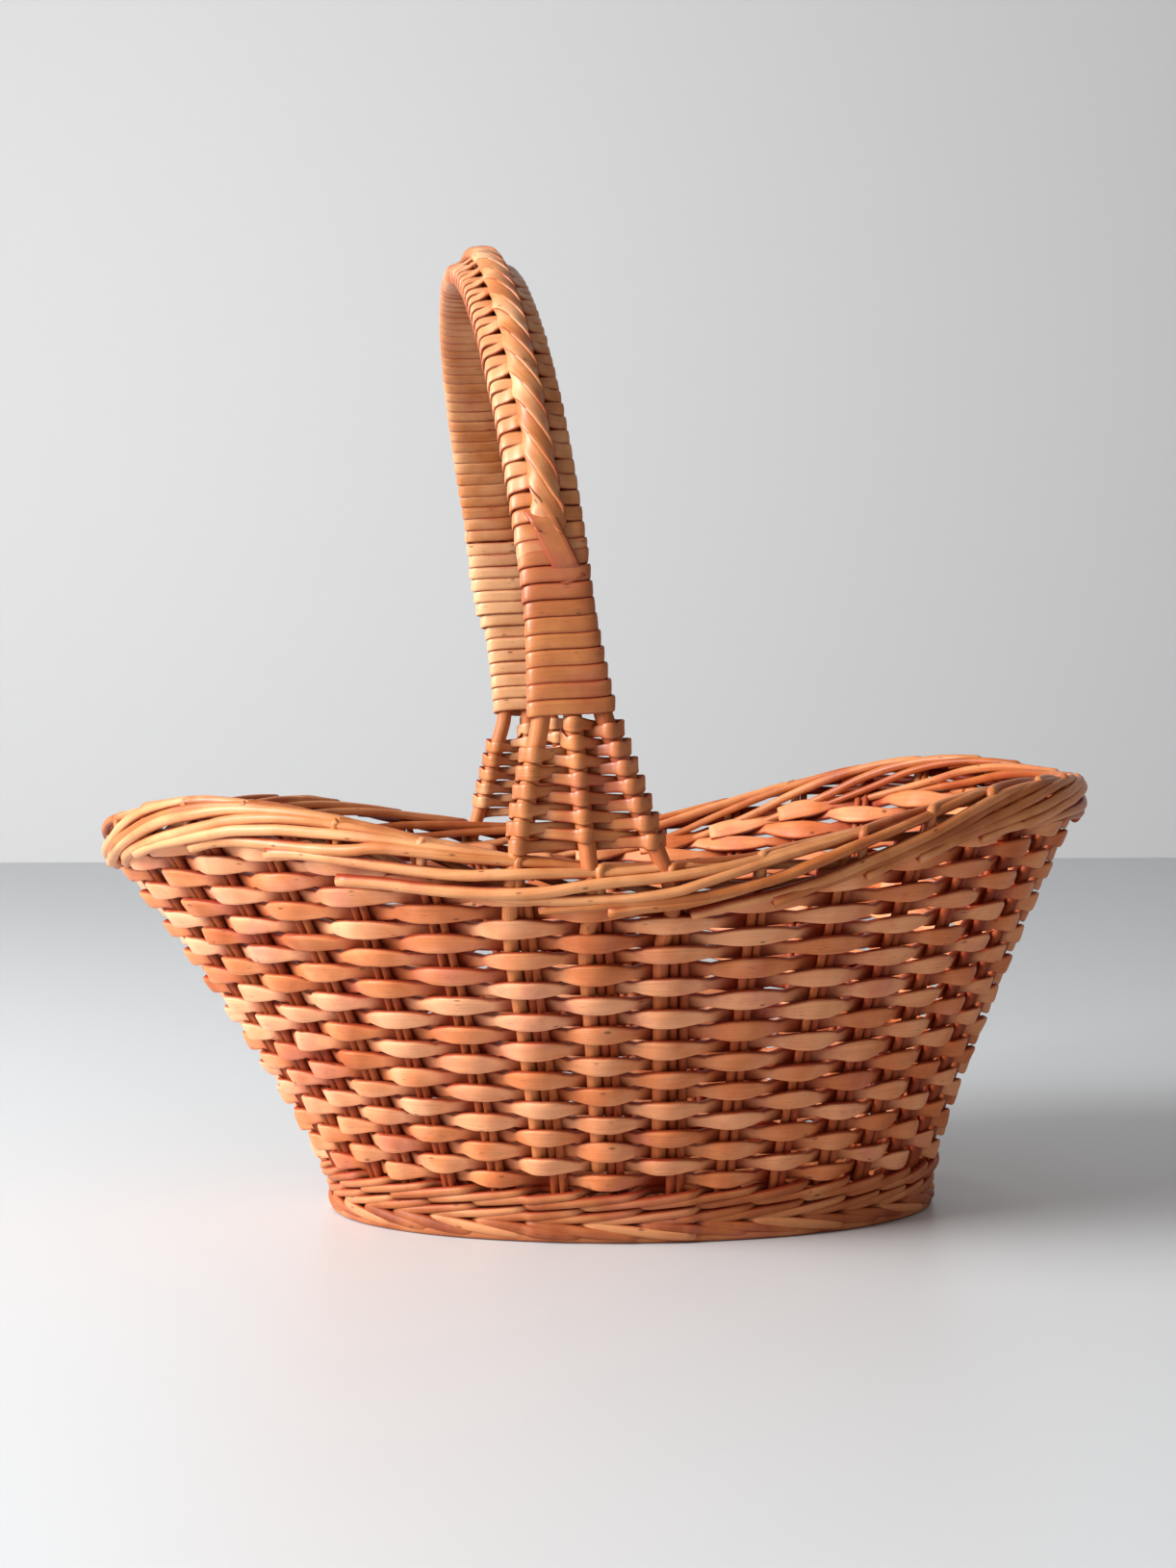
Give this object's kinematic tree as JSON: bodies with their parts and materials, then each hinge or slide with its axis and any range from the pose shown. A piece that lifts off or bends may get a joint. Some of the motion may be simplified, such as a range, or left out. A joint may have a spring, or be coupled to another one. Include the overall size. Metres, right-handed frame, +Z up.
{
  "type": "woven market basket",
  "caption": "Oval woven willow market basket with flared sides, a rolled border dipping at the middle, and a fixed wrapped hoop handle over its width.",
  "frame": {"origin": "on the floor, under the middle of the basket's overall box", "axes": "+X along the basket's length towards its higher end, +Y across from the front side to the back, +Z up"},
  "size_m": [0.4056, 0.2977, 0.3927],
  "materials": {
    "weaver_willow": "satin",
    "stake_willow": "satin",
    "border_willow": "satin",
    "wale_willow": "satin",
    "handle_willow": "satin",
    "skein_willow": "semi-gloss",
    "base_willow": "satin"
  },
  "bodies": {
    "root": {"base_sticks_long": "base_willow", "base_sticks_short": "base_willow", "base_weave_inner": "base_willow", "base_weave_outer": "base_willow", "border_rods_back": "border_willow", "border_rods_front": "border_willow", "border_rods_left": "border_willow", "border_rods_right": "border_willow", "border_tails_back": "border_willow", "border_tails_front": "border_willow", "border_tails_left": "border_willow", "border_tails_right": "border_willow", "bye_stakes_back": "stake_willow", "bye_stakes_front": "stake_willow", "bye_stakes_left": "stake_willow", "bye_stakes_right": "stake_willow", "fan_weave_back": "skein_willow", "fan_weave_front": "skein_willow", "foot_border": "wale_willow", "handle_rod_left": "handle_willow", "handle_rod_middle": "handle_willow", "handle_rod_right": "handle_willow", "lower_wale": "wale_willow", "packing_rows_left": "weaver_willow", "packing_rows_right": "weaver_willow", "ridge_strands": "skein_willow", "side_row_01": "weaver_willow", "side_row_02": "weaver_willow", "side_row_03": "weaver_willow", "side_row_04": "weaver_willow", "side_row_05": "weaver_willow", "side_row_06": "weaver_willow", "side_row_07": "weaver_willow", "side_row_08": "weaver_willow", "side_row_09": "weaver_willow", "side_row_10": "weaver_willow", "side_row_11": "weaver_willow", "side_row_12": "weaver_willow", "side_row_13": "weaver_willow", "side_row_14": "weaver_willow", "side_row_15": "weaver_willow", "side_row_16": "weaver_willow", "side_row_17": "weaver_willow", "side_row_18": "weaver_willow", "stakes_back": "stake_willow", "stakes_front": "stake_willow", "stakes_left": "stake_willow", "stakes_right": "stake_willow", "upper_wale": "wale_willow", "wrap_back_leg": "skein_willow", "wrap_front_leg": "skein_willow", "wrap_over_arch": "skein_willow"}
  },
  "joints": []
}
